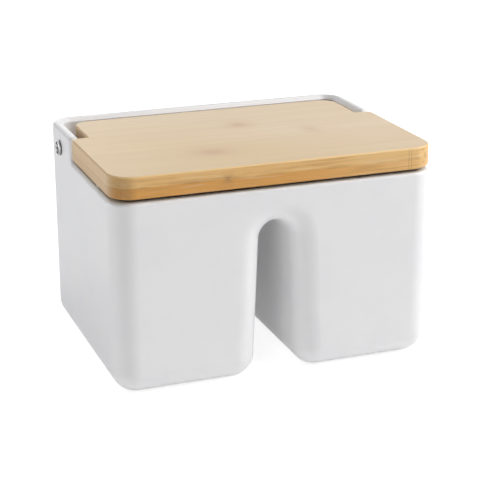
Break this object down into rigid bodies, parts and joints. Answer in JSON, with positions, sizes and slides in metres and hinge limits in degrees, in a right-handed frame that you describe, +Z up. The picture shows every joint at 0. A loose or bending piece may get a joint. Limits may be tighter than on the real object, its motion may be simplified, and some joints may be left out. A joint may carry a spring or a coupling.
{
  "type": "double lidded container",
  "caption": "Two-compartment glazed ceramic kitchen box on two legs with a round-topped slot between them, under one hinged bamboo lid.",
  "frame": {"origin": "middle of the base, on the surface the container stands on", "axes": "+Z up, -Y towards the front edge of the lid, +X to the right seen from the front"},
  "size_m": [0.1842, 0.135, 0.1195],
  "materials": {
    "ceramic": "white satin glaze, bare clay on the standing face",
    "bamboo_upper": "pale bamboo, sanded and oiled",
    "bamboo_lower": "warmer bamboo, sanded and oiled",
    "steel": "plain steel",
    "nylon": "natural white nylon",
    "silicone": "soft milky silicone"
  },
  "bodies": {
    "container": {"container_body": "ceramic", "left_hinge_bush": "nylon", "right_hinge_bush": "nylon"},
    "lid": {"lid_upper_ply": "bamboo_upper", "lid_lower_ply": "bamboo_lower", "lid_hinge_rail": "bamboo_lower", "left_hinge_screw": "steel", "right_hinge_screw": "steel", "left_lid_bumper": "silicone", "right_lid_bumper": "silicone"}
  },
  "joints": [
    {"name": "lid_hinge", "type": "hinge", "parent": "container", "child": "lid", "pos_m": [0, 0.0405, 0.1085], "axis": [-1, 0, 0], "range_deg": [0, 127]}
  ]
}
